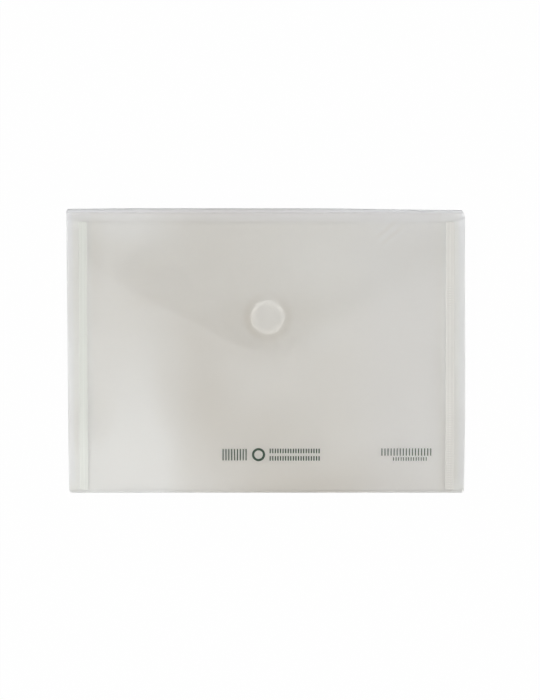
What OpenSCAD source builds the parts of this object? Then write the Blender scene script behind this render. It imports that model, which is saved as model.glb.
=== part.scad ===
// Clear gusseted document envelope.
// A frosted film pocket for letter-size papers. The front panel runs over the top fold into a V flap,
// which closes over the back panel and is held there by a hook-and-loop dot.
// It lies flat: +Z is the front panel's normal, +X runs along the folds, +Y points to the top fold.
// The origin is under the middle of the envelope, on the surface that it lies on. Sizes are millimetres.

/* [Envelope] */
// Width along the top fold
body_w = 332.6; // [280:1:400]
// Height from the bottom fold to the top fold
body_h = 238; // [190:1:300]
// Thickness of the film
film_t = 0.4; // [0.3:0.05:0.7]
// How far each side draws in between the top fold and the bottom fold
side_taper = 1.8; // [0:0.2:5]
// Radius of the bottom corners
corner_r = 3; // [2:0.5:6]
// Width of the cut across the top right corner
corner_cut_w = 2.7; // [1:0.1:6]
// Height of the cut across the top right corner
corner_cut_h = 8.3; // [5:0.1:10]

/* [Pocket] */
// Clear room between the panels at the mouth
pocket_room = 4.4; // [4.2:0.2:12]
// Outer radius of the bottom fold
bottom_fold_r = 1.7; // [1.7:0.1:2.2]
// Length over which the front panel lifts from the bottom fold to its full level
front_lift_len = 57; // [40:1:90]
// Length over which the back panel lifts from the surface to the closure's level
back_lift_len = 45; // [30:1:60]
// Distance from the top fold down to the pocket's mouth
mouth_setback = 11.6; // [9:0.2:20]

/* [Flap] */
// Length from the top fold to the flap's tip
flap_len = 118; // [112:1:130]
// Length from the top fold to the flap's shoulders
flap_side_len = 40; // [30:1:60]
// How far the flap's root stands in from the envelope's sides
flap_root_inset = 3; // [2.8:0.2:8]
// How far the flap's shoulders stand in from the envelope's sides
flap_shoulder_inset = 6; // [3:0.5:15]
// Radius of the flap's tip
flap_tip_r = 72; // [40:1:90]
// Radius of the flap's shoulders
flap_shoulder_r = 8; // [2:1:15]

/* [Side gussets] */
// Depth of the pleat, from the side fold in to the pleat's crease
pleat_depth = 16; // [10:0.5:25]
// Radius of the creases, at the middle of the film
crease_r = 0.45; // [0.4:0.05:0.5]
// Gap at the pleat's crease between its back half and its front half
pleat_gap = 0.3; // [0.2:0.05:0.35]
// Width of the tab that is welded inside the front panel, with its fold
tab_w = 16.8; // [16.6:0.2:24]
// How far the tab's outer corner stands above the mouth
tab_rise = 3.6; // [0:0.2:6]

/* [Weld seams] */
// Distance from the side to the seam's outer edge
seam_inset = 9.6; // [4:0.2:9.6]
// Width of the seam
seam_w = 6.8; // [6.4:0.1:7]
// Length of the plain ends of the seam's land
seam_end = 1.5; // [0.5:0.5:6]
// Thickness of the pressed land
land_t = 0.1; // [0.08:0.01:0.2]
// Width of the bead along each edge of the land
bead_w = 0.5; // [0.3:0.1:0.6]
// Height of the beads above the land
bead_h = 0.1; // [0.05:0.05:0.3]
// Height of the knurl's studs above the land
stud_h = 0.15; // [0.1:0.05:0.4]
// Distance from one row of studs to the next
stud_pitch = 2; // [1.6:0.1:4]
// Length of one stud along the seam
stud_len = 1; // [0.5:0.1:1.3]
// Width of the studs in the middle column
mid_stud_w = 2.2; // [1.6:0.1:2.5]
// Width of the studs in the two side columns
side_stud_w = 1.1; // [0.6:0.1:1.2]

/* [Closure dot] */
// Diameter of both halves of the dot
dot_d = 29; // [22:1:34]
// Distance of the dot's centre to the right of the middle
dot_x = 1.7; // [-10:0.1:10]
// Distance from the flap's tip up to the dot's centre
dot_from_tip = 27; // [24:1:34]
// Thickness of each half's backing
dot_base_t = 0.5; // [0.3:0.05:0.8]
// Width of the pressed rim round each half
dot_rim_w = 4; // [2:0.5:6]
// Depth of the pressed rim below the backing's face
dot_rim_drop = 0.15; // [0.05:0.05:0.2]
// Thickness of the loop pile
loop_t = 0.3; // [0.2:0.05:0.6]
// Gap between the loop pile and the hooks while the flap lies closed
dot_gap = 0.3; // [0.2:0.05:0.5]
// Height of the hooks, with the web that they stand on
hook_h = 0.45; // [0.4:0.05:0.8]
// Thickness of the web under the hooks
hook_web_t = 0.1; // [0.08:0.01:0.15]
// Distance from one hook to the next
hook_pitch = 1.8; // [1.6:0.1:3]
// Radius of a hook's stem
hook_stem_r = 0.25; // [0.15:0.05:0.35]
// Radius of a hook's head
hook_head_r = 0.45; // [0.4:0.05:0.6]

/* [Hidden] */

FILM = [0.85, 0.85, 0.82];
WELD = [0.91, 0.91, 0.88];
CLOSURE = [0.88, 0.87, 0.83];

// levels, each the underside of its film
dot_stack = 2 * dot_base_t + hook_h + dot_gap + loop_t;
back_level = film_t + dot_stack;
front_level = back_level + film_t + pocket_room;
front_foot = 2 * bottom_fold_r - film_t;
top_fold_r = (front_level + film_t) / 2;
half_film = film_t / 2;

// places along Y
top_y = body_h / 2;
bottom_y = -body_h / 2;
fold_y = top_y - top_fold_r;
foot_y = bottom_y + bottom_fold_r;
mouth_y = top_y - mouth_setback;
tip_y = top_y - flap_len;
dot_y = tip_y + dot_from_tip;
shoulder_y = top_y - flap_side_len;
dot_margin = 9;
back_lift_y = dot_y - dot_d / 2 - dot_margin - back_lift_len;

// the film's stations along Y, from the bottom fold to the mouth, which all its pieces share
STEPS = 36;
stations = [for (i = [0:STEPS]) foot_y + (mouth_y - foot_y) * i / STEPS];
foot_stations = [for (i = [0:6]) bottom_y + bottom_fold_r * i / 6];

// the fold of a crease reaches this far in from the side
crease_in = crease_r + half_film;
far = body_w;

// ---------- functions ----------

// A smooth rise from 0 to 1
function ease(t) = let (c = max(0, min(1, t))) c * c * (3 - 2 * c);

// The underside of each panel at a place along Y
function back_z(y) = back_level * ease((y - back_lift_y) / back_lift_len);
function front_z(y) = front_foot + (front_level - front_foot) * ease((y - foot_y) / front_lift_len);

// Half the envelope's width at a place along Y, with the bottom corner's round
function round_in(y) =
    let (up = bottom_y + corner_r - y)
    up <= 0 ? 0 : corner_r - sqrt(max(0, corner_r * corner_r - up * up));
function side_x(y) = body_w / 2 - side_taper * (top_y - y) / body_h - round_in(y);

// Points down one side, inset from it
function side_points(ys, inset) = [for (y = ys) [side_x(y) - inset, y]];

function reversed(list) = [for (i = [len(list) - 1:-1:0]) list[i]];
function mirrored(points) = [for (p = points) [-p[0], p[1]]];
function polar(r, a) = [r * cos(a), r * sin(a)];
function unit(v) = v / norm(v);
function wrapped(a) = a > 180 ? a - 360 : a < -180 ? a + 360 : a;

// The arc that rounds the corner c between the points p and n
function corner_arc(p, c, n, r, steps = 12) =
    let (
        u = unit(p - c),
        v = unit(n - c),
        half = acos(u * v) / 2,
        centre = c + unit(u + v) * r / sin(half),
        first = c + u * r / tan(half) - centre,
        last = c + v * r / tan(half) - centre,
        a0 = atan2(first[1], first[0]),
        turn = wrapped(atan2(last[1], last[0]) - a0)
    )
    [for (i = [0:steps]) centre + polar(r, a0 + turn * i / steps)];

// A closed outline whose corners are [point, radius]
function rounded(corners) =
    let (n = len(corners))
    [for (i = [0:n - 1])
        let (c = corners[i], p = corners[(i + n - 1) % n], q = corners[(i + 1) % n])
        each (c[1] == 0 ? [c[0]] : corner_arc(p[0], c[0], q[0], c[1]))];

// ---------- film ----------

// A band in YZ between z_of(y) + low and z_of(y) + high
function band(ys, z_of, low, high) = concat(
    [for (y = ys) [y, z_of(y) + low]],
    [for (y = reversed(ys)) [y, z_of(y) + high]]
);

// Carries a YZ profile along X
module along_x(x0, x1) {
    rotate([90, 0, 90])
        translate([0, 0, x0])
            linear_extrude(x1 - x0)
                children();
}

// Film of one panel, from its profile along Y and its outline seen from above
module film(ys, z_of, low, high, outline) {
    intersection() {
        along_x(-far, far)
            polygon(band(ys, z_of, low, high));
        linear_extrude(4 * top_fold_r)
            polygon(outline);
    }
}

// Half a roll of film about an axis along X, on the side that way points to
module roll(y, r, way) {
    along_x(-far, far)
        translate([y, r])
            intersection() {
                difference() {
                    circle(r = r, $fn = 96);
                    circle(r = r - film_t, $fn = 96);
                }
                translate([way * r, 0])
                    square(2 * r, center = true);
            }
}

// What the cut across the top right corner takes away
module corner_trim() {
    reach = top_fold_r;
    cut_y = top_y - corner_cut_h;
    top_x = side_x(top_y);
    translate([0, 0, -1])
        linear_extrude(4 * top_fold_r)
            polygon([
                [top_x - corner_cut_w, top_y],
                [top_x - corner_cut_w, top_y + reach],
                [top_x + reach, top_y + reach],
                [top_x + reach, cut_y],
                [side_x(cut_y), cut_y]
            ]);
}

// ---------- pocket ----------

module back_panel() {
    edge = side_points(stations, crease_in);
    color(FILM)
        film(stations, function (y) back_z(y), 0, film_t, concat(edge, reversed(mirrored(edge))));
}

module bottom_fold() {
    edge = side_points(foot_stations, 0);
    color(FILM)
        intersection() {
            roll(foot_y, bottom_fold_r, -1);
            linear_extrude(2 * bottom_fold_r)
                polygon(concat(edge, reversed(mirrored(edge))));
        }
}

// The middle of the film on which each half of a gusset starts: the back panel, or the welded tab
function back_root(y) = back_z(y) + half_film;
function tab_root(y) = front_z(y) - half_film;
function pleat_z(y) = (back_root(y) + tab_root(y)) / 2;

// One half of a gusset cut across: the side fold, the leaf, and half of the pleat's crease.
// way is 1 for the half that rises from the back panel and -1 for the half that hangs from the tab.
function leaf_section(y, way) =
    let (
        root = way > 0 ? back_root(y) : tab_root(y),
        fold = [side_x(y) - crease_in, root + way * crease_r],
        pleat = [side_x(y) - pleat_depth + crease_in, pleat_z(y)],
        stop = asin(pleat_gap / 2 / crease_r),
        fold_turn = [for (i = [0:6]) way * (-90 + 30 * i)],
        pleat_turn = [for (i = [0:3]) way * (-90 - (90 - stop) * i / 3)]
    )
    concat(
        [for (a = fold_turn) fold + polar(crease_r - half_film, a)],
        [for (a = pleat_turn) pleat + polar(crease_r + half_film, a)],
        [for (a = reversed(pleat_turn)) pleat + polar(crease_r - half_film, a)],
        [for (a = reversed(fold_turn)) fold + polar(crease_r + half_film, a)]
    );

// The flat end of a strip whose section runs out along one face of the film and back along the other
function end_faces(first, n) = [for (j = [0:n / 2 - 2])
    let (a = first + j, b = first + n - 1 - j)
    each [[a, a + 1, b], [a + 1, b - 1, b]]];

// Faces of a closed skin over sections of n points each
function skin_faces(sections, n) = concat(
    end_faces(0, n),
    [for (f = end_faces((sections - 1) * n, n)) reversed(f)],
    [for (i = [0:sections - 2], j = [0:n - 1])
        let (a = i * n + j, b = i * n + (j + 1) % n)
        each [[a, a + n, b], [b, a + n, b + n]]]
);

// Half a gusset on the right side, lofted from the bottom fold to the mouth
module gusset_leaf(way) {
    sections = [for (y = stations) [for (p = leaf_section(y, way)) [p[0], y, p[1]]]];
    n = len(sections[0]);
    faces = skin_faces(len(sections), n);
    polyhedron(
        points = [for (s = sections) each s],
        faces = way > 0 ? faces : [for (f = faces) reversed(f)],
        convexity = 8
    );
}

module right_back_leaf() {
    color(FILM)
        gusset_leaf(1);
}

module left_back_leaf() {
    color(FILM)
        mirror([1, 0, 0])
            gusset_leaf(1);
}

// ---------- closure dot ----------

dot_r = dot_d / 2;
field_r = dot_r - dot_rim_w;

// One half's backing, its flat side at z = 0, with its rim pressed back
module dot_backing() {
    rotate_extrude($fn = 120)
        polygon([
            [0, 0],
            [dot_r, 0],
            [dot_r, dot_base_t - dot_rim_drop],
            [field_r + dot_rim_drop, dot_base_t - dot_rim_drop],
            [field_r, dot_base_t],
            [0, dot_base_t]
        ]);
}

module loop_disc() {
    color(CLOSURE)
        translate([dot_x, dot_y, back_level])
            mirror([0, 0, 1])
                dot_backing();
}

module loop_pile() {
    color(CLOSURE)
        translate([dot_x, dot_y, back_level - dot_base_t - loop_t])
            cylinder(h = loop_t, r = field_r, $fn = 120);
}

module hook_disc() {
    color(CLOSURE)
        translate([dot_x, dot_y, film_t])
            dot_backing();
}

// A mushroom hook on its web
module hook() {
    head_t = (hook_h - hook_web_t) / 3;
    cylinder(h = hook_h - head_t, r = hook_stem_r, $fn = 6);
    translate([0, 0, hook_h - head_t])
        cylinder(h = head_t, r = hook_head_r, $fn = 6);
}

module hook_field() {
    row_step = hook_pitch * sin(60);
    rows = floor(field_r / row_step);
    cols = ceil(field_r / hook_pitch);
    room = field_r - 2 * hook_head_r;
    color(CLOSURE)
        translate([dot_x, dot_y, film_t + dot_base_t])
            union() {
                cylinder(h = hook_web_t, r = field_r, $fn = 120);
                for (row = [-rows:rows], col = [-cols:cols]) {
                    shift = row % 2 == 0 ? 0 : 0.5;
                    place = [(col + shift) * hook_pitch, row * row_step];
                    if (norm(place) <= room)
                        translate(place)
                            hook();
                }
            }
}

// ---------- front ----------

module front_panel() {
    edge = concat(side_points(stations, 0), side_points([fold_y], 0));
    color(FILM)
        difference() {
            film(
                concat(stations, [fold_y]), function (y) front_z(y), 0, film_t,
                concat(edge, reversed(mirrored(edge)))
            );
            corner_trim();
        }
}

module top_fold() {
    edge = side_points([fold_y, top_y], 0);
    color(FILM)
        difference() {
            intersection() {
                roll(fold_y, top_fold_r, 1);
                linear_extrude(4 * top_fold_r)
                    polygon(concat(edge, reversed(mirrored(edge))));
            }
            corner_trim();
        }
}

module right_front_leaf() {
    color(FILM)
        gusset_leaf(-1);
}

module left_front_leaf() {
    color(FILM)
        mirror([1, 0, 0])
            gusset_leaf(-1);
}

// The gusset's tab on the right side, flat against the inside of the front panel
module weld_tab() {
    outer = concat(side_points(stations, crease_in), side_points([mouth_y + tab_rise], crease_in));
    inner = side_points(stations, tab_w);
    film(
        concat(stations, [mouth_y + tab_rise]), function (y) front_z(y), -film_t, 0,
        concat(outer, reversed(inner))
    );
}

module right_weld_tab() {
    color(FILM)
        weld_tab();
}

module left_weld_tab() {
    color(FILM)
        mirror([1, 0, 0])
            weld_tab();
}

// A column of knurl studs in YZ: a comb that stands on the film, with its teeth above the land
function comb() =
    let (
        first = foot_y + seam_end,
        last = mouth_y - seam_end,
        count = floor((last - first - stud_len) / stud_pitch),
        low = film_t + land_t / 2,
        high = film_t + land_t + stud_h
    )
    concat(
        [for (k = [0:count])
            let (y0 = first + k * stud_pitch, y1 = y0 + stud_len)
            each [
                [y0, front_z(y0) + low], [y0, front_z(y0) + high],
                [y1, front_z(y1) + high], [y1, front_z(y1) + low]
            ]],
        [for (y = reversed(stations))
            if (y > first && y < first + count * stud_pitch) [y, front_z(y) + film_t]]
    );

// A flat strip along the front panel's outside
module strip(x, w, h) {
    along_x(x, x + w)
        polygon(band(stations, function (y) front_z(y), film_t, film_t + h));
}

// The knurled land on the right side, pressed into the front panel over the tab: three columns of studs
// between two beads, with even gaps
module weld_seam() {
    x0 = body_w / 2 - seam_inset - seam_w;
    gap = (seam_w - 2 * bead_w - 2 * side_stud_w - mid_stud_w) / 4;
    first_x = x0 + bead_w + gap;
    mid_x = first_x + side_stud_w + gap;
    last_x = mid_x + mid_stud_w + gap;
    strip(x0, seam_w, land_t);
    for (x = [x0, x0 + seam_w - bead_w])
        strip(x, bead_w, land_t + bead_h);
    for (column = [[first_x, side_stud_w], [mid_x, mid_stud_w], [last_x, side_stud_w]])
        along_x(column[0], column[0] + column[1])
            polygon(comb());
}

module right_weld_seam() {
    color(WELD)
        weld_seam();
}

module left_weld_seam() {
    color(WELD)
        mirror([1, 0, 0])
            weld_seam();
}

// ---------- flap ----------

module flap_panel() {
    root_x = side_x(fold_y) - flap_root_inset;
    shoulder_x = side_x(shoulder_y) - flap_shoulder_inset;
    // the two edges would meet at a point below the tip, and the tip's radius cuts that point off
    slope = tip_slope(shoulder_x, shoulder_y - tip_y);
    point_y = shoulder_y - shoulder_x * tan(slope);
    color(FILM)
        linear_extrude(film_t)
            polygon(rounded([
                [[root_x, fold_y], 0],
                [[-root_x, fold_y], 0],
                [[-shoulder_x, shoulder_y], flap_shoulder_r],
                [[0, point_y], flap_tip_r],
                [[shoulder_x, shoulder_y], flap_shoulder_r]
            ]));
}

// Angle of the flap's lower edges, so that the round tip lies drop below the shoulders:
// x * tan(a) - r * (1 / cos(a) - 1) = drop, narrowed down by halves
function tip_slope(x, drop, low = 0, high = 60, left = 40) =
    let (mid = (low + high) / 2, got = x * tan(mid) - flap_tip_r * (1 / cos(mid) - 1))
    left == 0 ? mid : got < drop ? tip_slope(x, drop, mid, high, left - 1)
    : tip_slope(x, drop, low, mid, left - 1);

// ---------- pieces ----------

back_panel();
bottom_fold();
left_back_leaf();
right_back_leaf();
loop_disc();
loop_pile();
front_panel();
top_fold();
left_front_leaf();
right_front_leaf();
left_weld_tab();
right_weld_tab();
left_weld_seam();
right_weld_seam();
flap_panel();
hook_disc();
hook_field();
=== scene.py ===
"""Frosted gusseted document envelope: its film, welds and closure dot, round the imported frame."""

import logging
import math
from dataclasses import dataclass, field
from enum import Enum

import bpy
import numpy as np
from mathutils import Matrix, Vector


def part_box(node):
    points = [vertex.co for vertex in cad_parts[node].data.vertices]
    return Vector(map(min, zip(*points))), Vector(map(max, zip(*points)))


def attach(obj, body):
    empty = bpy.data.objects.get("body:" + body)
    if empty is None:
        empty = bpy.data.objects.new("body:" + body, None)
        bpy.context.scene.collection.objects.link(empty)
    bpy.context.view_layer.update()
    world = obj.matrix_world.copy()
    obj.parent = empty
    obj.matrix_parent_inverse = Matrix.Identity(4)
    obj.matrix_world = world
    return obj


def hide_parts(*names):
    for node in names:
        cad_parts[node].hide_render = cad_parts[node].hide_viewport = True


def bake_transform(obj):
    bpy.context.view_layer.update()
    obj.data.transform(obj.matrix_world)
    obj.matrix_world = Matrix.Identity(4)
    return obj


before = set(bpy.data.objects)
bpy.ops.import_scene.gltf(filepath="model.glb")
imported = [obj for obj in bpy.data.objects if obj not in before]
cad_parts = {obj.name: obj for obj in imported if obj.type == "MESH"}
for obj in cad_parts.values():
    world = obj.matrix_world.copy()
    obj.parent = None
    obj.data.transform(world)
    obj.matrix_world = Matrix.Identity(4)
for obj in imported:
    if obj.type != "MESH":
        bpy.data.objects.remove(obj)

MM = 0.001
TINY = 1e-12
Grid = np.ndarray
Pair = tuple[float, float]
Triple = tuple[float, float, float]
Rgb = Triple
Piece = bpy.types.Object
Material = bpy.types.Material
Node = bpy.types.Node
Socket = bpy.types.NodeSocket
BLACK: Rgb = (0.0, 0.0, 0.0)
WHITE: Rgb = (1.0, 1.0, 1.0)
LOG = logging.getLogger("envelope")


class Body(Enum):
    """The bodies that the frame moves."""

    POCKET = "pocket"
    FRONT = "front"
    FLAP = "flap"


class Side(Enum):
    """The envelope's two sides, as the sign of X."""

    LEFT = -1
    RIGHT = 1


class Press(Enum):
    """How the knurled wheel pressed a weld along its length."""

    CRISP_BELOW = "crisp below, and in a short run above"
    FAINT = "faint all along"


# ---- Numbers and surfaces ----


def ease(t: Grid) -> Grid:
    """Smooth rise from 0 to 1, level outside: three times the square less twice the cube."""
    c = np.clip(t, 0.0, 1.0)
    return c * c * (3.0 - 2.0 * c)


def lerp(a: Grid | float, b: Grid | float, t: Grid | float) -> Grid | float:
    """Straight blend from a at t = 0 to b at t = 1."""
    return a + (b - a) * t


def swell(t: Grid, at: float, reach: float) -> Grid:
    """Soft rise and fall along one direction: e to the minus squared distance, in reaches."""
    return np.exp(-(((t - at) / reach) ** 2))


@dataclass(frozen=True)
class Ramp:
    """An eased step along one direction: where it starts, how much further on it ends, which is
    negative where it steps the other way, and its height."""

    start: float
    run: float
    height: float = 1.0

    def over(self, t: Grid) -> Grid:
        """The step's height at each place."""
        return self.height * ease((t - self.start) / self.run)


@dataclass(frozen=True)
class Swell:
    """A soft rise and fall along one direction: its middle, its reach and its height."""

    at: float
    reach: float
    height: float = 1.0

    def over(self, t: Grid) -> Grid:
        """The swell's height at each place."""
        return self.height * swell(t, self.at, self.reach)


@dataclass(frozen=True)
class Hill:
    """A soft round hill: its centre, its reach along X and Y, and its height. The height is e
    to the minus squared distance from the centre, measured in reaches, and may be negative."""

    at: Pair
    reach: Pair
    height: float = 1.0

    def over(self, x: Grid, y: Grid) -> Grid:
        """The hill's height at each place."""
        across = swell(x, self.at[0], self.reach[0])
        return self.height * across * swell(y, self.at[1], self.reach[1])


@dataclass(frozen=True)
class Wave:
    """A slow wave of a sheet: the sine of the sum of both places, each over its own length,
    which is negative where the wave runs the other way, with a phase and a height."""

    lengths: Pair
    phase: float
    height: float

    def over(self, x: Grid, y: Grid) -> Grid:
        """The wave's height at each place."""
        turns = x / self.lengths[0] + y / self.lengths[1]
        return self.height * np.sin(2 * math.pi * turns + self.phase)


def total(parts: tuple[Ramp | Swell, ...], t: Grid) -> Grid:
    """The sum of several ramps and swells along one direction."""
    return sum(part.over(t) for part in parts)


def by_side(x: Grid, left: Grid | float, right: Grid | float) -> Grid:
    """The left value where X is 0 or less, and the right one where it is more."""
    return np.where(x > 0, right, left)


def arc(centre: Pair, radius: float, start: float, stop: float, count: int) -> Grid:
    """Points on a circular arc in a plane, rows of two coordinates, with angles in degrees."""
    a = np.radians(np.linspace(start, stop, count))
    return np.stack([centre[0] + radius * np.cos(a), centre[1] + radius * np.sin(a)], axis=-1)


def grid_faces(rows: int, cols: int, first: int = 0, flip: bool = False) -> Grid:
    """Quads over a grid of vertices that is stored row by row.

    Args:
        rows: Rows of vertices.
        cols: Vertices in a row.
        first: Index of the grid's first vertex.
        flip: Turns the faces round.

    Returns:
        An array of quads.
    """
    at = first + np.arange(rows * cols).reshape(rows, cols)
    a, b, c, d = at[:-1, :-1], at[:-1, 1:], at[1:, 1:], at[1:, :-1]
    quads = np.stack([a, b, c, d], axis=-1).reshape(-1, 4)
    return quads[:, ::-1] if flip else quads


def grid_normals(mid: Grid) -> Grid:
    """Unit normals of a grid surface: the cross product of its two differences.

    Args:
        mid: Rows by columns by 3, the surface.

    Returns:
        The normals, of the same shape.
    """
    along = np.gradient(mid, axis=1)
    down = np.gradient(mid, axis=0)
    n = np.cross(along, down)
    return n / np.maximum(np.linalg.norm(n, axis=-1, keepdims=True), TINY)


def make_mesh(name: str, verts: Grid, faces: Grid, smooth: bool = True) -> Piece:
    """Puts arrays into a new mesh object at the origin.

    Args:
        name: The object's name.
        verts: Vertex places, in metres.
        faces: Quads as vertex indices.
        smooth: Shades the faces smoothly.

    Returns:
        The object, linked to the scene.
    """
    mesh = bpy.data.meshes.new(name)
    mesh.vertices.add(len(verts))
    mesh.vertices.foreach_set("co", verts.astype(np.float32).ravel())
    mesh.loops.add(faces.size)
    mesh.loops.foreach_set("vertex_index", faces.astype(np.int32).ravel())
    mesh.polygons.add(len(faces))
    starts = np.arange(0, faces.size, faces.shape[1], dtype=np.int32)
    mesh.polygons.foreach_set("loop_start", starts)
    mesh.update(calc_edges=True)
    mesh.validate()
    mesh.polygons.foreach_set("use_smooth", np.full(len(mesh.polygons), smooth))
    obj = bpy.data.objects.new(name, mesh)
    bpy.context.scene.collection.objects.link(obj)
    return obj


def put_attribute(obj: Piece, name: str, values: Grid) -> None:
    """Stores one number per vertex under a name that materials read."""
    layer = obj.data.attributes.new(name, "FLOAT", "POINT")
    layer.data.foreach_set("value", values.astype(np.float32).ravel())


def closed_faces(rows: int, cols: int) -> Grid:
    """Quads of a closed sheet: a grid, its copy underneath, which is stored after it and turned
    round, and one row of quads round the rim.

    Args:
        rows: Rows of vertices in the grid.
        cols: Vertices in a row.

    Returns:
        An array of quads.
    """
    count = rows * cols
    at = np.arange(count).reshape(rows, cols)
    rim = np.concatenate([at[0, :-1], at[:-1, -1], at[-1, :0:-1], at[:0:-1, 0]])
    after = np.roll(rim, -1)
    wall = np.stack([rim, rim + count, after + count, after], axis=-1)
    return np.concatenate([grid_faces(rows, cols), grid_faces(rows, cols, count, flip=True), wall])


def repeated(faces: Grid, count: int, verts: int) -> Grid:
    """One shape's faces for several copies, whose vertices are stored one copy after another."""
    return (faces[None] + (np.arange(count) * verts)[:, None, None]).reshape(-1, faces.shape[1])


def shell(name: str, mid: Grid, thickness: float, marks: dict[str, Grid]) -> Piece:
    """A closed sheet of even thickness: the grid moved half the thickness both ways along its
    normals, joined round its rim by one row of quads.

    Args:
        name: The object's name.
        mid: Rows by columns by 3, the middle surface, whose normals point out of the sheet's face.
        thickness: The sheet's thickness.
        marks: Values per grid point by name, stored as attributes.

    Returns:
        The new object.
    """
    n = grid_normals(mid) * (thickness / 2)
    verts = np.concatenate([(mid + n).reshape(-1, 3), (mid - n).reshape(-1, 3)])
    obj = make_mesh(name, verts, closed_faces(*mid.shape[:2]))
    for mark, values in marks.items():
        put_attribute(obj, mark, np.tile(values.ravel(), 2))
    return obj


# ---- Materials ----


class NodeTree:
    """Small helper that adds and joins the shader nodes of a material or of the world."""

    def __init__(self, owner: bpy.types.ID, output: str = "ShaderNodeOutputMaterial") -> None:
        """Starts an empty tree with its output.

        Args:
            owner: The material or world.
            output: The output node's type name.
        """
        self.owner = owner
        self.owner.use_nodes = True
        self.tree = owner.node_tree
        self.tree.nodes.clear()
        self.output = self.add(output)

    def add(self, kind: str, **settings: object) -> Node:
        """Adds a node and sets its properties.

        Args:
            kind: The node's type name.
            settings: Properties to set on it.

        Returns:
            The node.
        """
        node = self.tree.nodes.new(kind)
        for key, value in settings.items():
            setattr(node, key, value)
        return node

    def feed(self, socket: Socket, value: object) -> None:
        """Joins an output to a socket, or sets the socket's own value.

        Args:
            socket: The socket to feed.
            value: Another node's output, or a plain value.
        """
        if isinstance(value, Socket):
            self.tree.links.new(value, socket)
        else:
            socket.default_value = value

    def make(self, kind: str, sockets: dict[str | int, object], **settings: object) -> Node:
        """Adds a node and feeds its sockets.

        Args:
            kind: The node's type name.
            sockets: What each socket takes, by the socket's name or number.
            settings: Properties to set on the node.

        Returns:
            The node.
        """
        node = self.add(kind, **settings)
        for key, value in sockets.items():
            self.feed(node.inputs[key], value)
        return node

    def math(self, operation: str, a: object, b: object = 0.0) -> Socket:
        """Adds a Math node on two values or sockets and returns its result."""
        return self.make("ShaderNodeMath", {0: a, 1: b}, operation=operation).outputs[0]

    def times(self, a: object, b: object) -> Socket:
        """The product of two values or sockets."""
        return self.math("MULTIPLY", a, b)

    def weigh(self, a: object, b: object, share: float) -> Socket:
        """The first value's share and the second one's rest, added."""
        return self.math("ADD", self.times(a, share), self.times(b, 1.0 - share))

    def mix(self, share: object, a: object, b: object) -> Socket:
        """Adds a colour mix, from the first at share 0 to the second at 1.

        Args:
            share: The second colour's share.
            a: The first colour or socket.
            b: The second colour or socket.

        Returns:
            The mixed colour.
        """
        first, second = ((*c, 1.0) if isinstance(c, tuple) else c for c in (a, b))
        sockets = {0: share, 6: first, 7: second}
        return self.make("ShaderNodeMix", sockets, data_type="RGBA").outputs[2]

    def spread(self, value: object, low: float, high: float) -> Socket:
        """Maps 0 to 1 onto low to high."""
        return self.make("ShaderNodeMapRange", {0: value, 3: low, 4: high}).outputs[0]

    def step(self, value: object, start: float, stop: float) -> Socket:
        """A smooth step of a value.

        Args:
            value: The value.
            start: Where the step is 0.
            stop: Where it is 1, which may lie either way from the start.

        Returns:
            The step, from 0 to 1.
        """
        low, high = (0.0, 1.0) if start < stop else (1.0, 0.0)
        sockets = {0: value, 1: min(start, stop), 2: max(start, stop), 3: low, 4: high}
        return self.make("ShaderNodeMapRange", sockets, interpolation_type="SMOOTHSTEP").outputs[0]

    def place(self, **mapping: Triple) -> Socket:
        """Object coordinates in metres, through a Mapping with the given Location or Scale."""
        where = self.add("ShaderNodeTexCoord").outputs["Object"]
        return self.make("ShaderNodeMapping", {"Vector": where, **mapping}).outputs[0]

    def distance(self, centre: Pair) -> Socket:
        """Distance in the X and Y plane from a centre: the root of the sum of the squares."""
        at = self.place(Location=(-centre[0], -centre[1], 0.0), Scale=(1.0, 1.0, 0.0))
        return self.make("ShaderNodeVectorMath", {0: at}, operation="LENGTH").outputs["Value"]

    def noise(self, scale: float, detail: float = 2.0, stretch: Triple = (1.0, 1.0, 1.0)) -> Socket:
        """Noise over the object's coordinates, which a stretch makes finer along each of them."""
        sockets = {"Vector": self.place(Scale=stretch), "Scale": scale, "Detail": detail}
        return self.make("ShaderNodeTexNoise", sockets).outputs["Fac"]

    def attribute(self, name: str) -> Socket:
        """One number per vertex, by its name."""
        return self.add("ShaderNodeAttribute", attribute_name=name).outputs["Fac"]

    def bump(self, height: Socket, strength: float, depth: float) -> Socket:
        """Adds a Bump node over a height and returns its normal."""
        sockets = {"Strength": strength, "Distance": depth, "Height": height}
        return self.make("ShaderNodeBump", sockets).outputs[0]

    def principled(self, sockets: dict[str, object]) -> Node:
        """Adds a Principled shader and feeds its sockets by their names."""
        return self.make("ShaderNodeBsdfPrincipled", sockets)

    def mix_shaders(self, share: object, a: Node, b: Node) -> Node:
        """Adds a mix of two shaders, from the first at share 0 to the second at 1."""
        return self.make("ShaderNodeMixShader", {0: share, 1: a.outputs[0], 2: b.outputs[0]})

    def end(self, shader: Node) -> bpy.types.ID:
        """Joins a shader to the output and returns the finished material or world."""
        self.feed(self.output.inputs["Surface"], shader.outputs[0])
        return self.owner

    def end_film(self, film: Node, tint: Socket) -> Material:
        """Ends a film's material: its own shader for what is seen, and a tinted Transparent one
        for the light that passes to what is under it.

        Args:
            film: The film's shader.
            tint: What the film does to the light that passes.

        Returns:
            The finished material.
        """
        shade = self.make("ShaderNodeBsdfTransparent", {"Color": tint})
        passing = self.add("ShaderNodeLightPath").outputs["Is Shadow Ray"]
        return self.end(self.mix_shaders(passing, film, shade))


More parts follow.
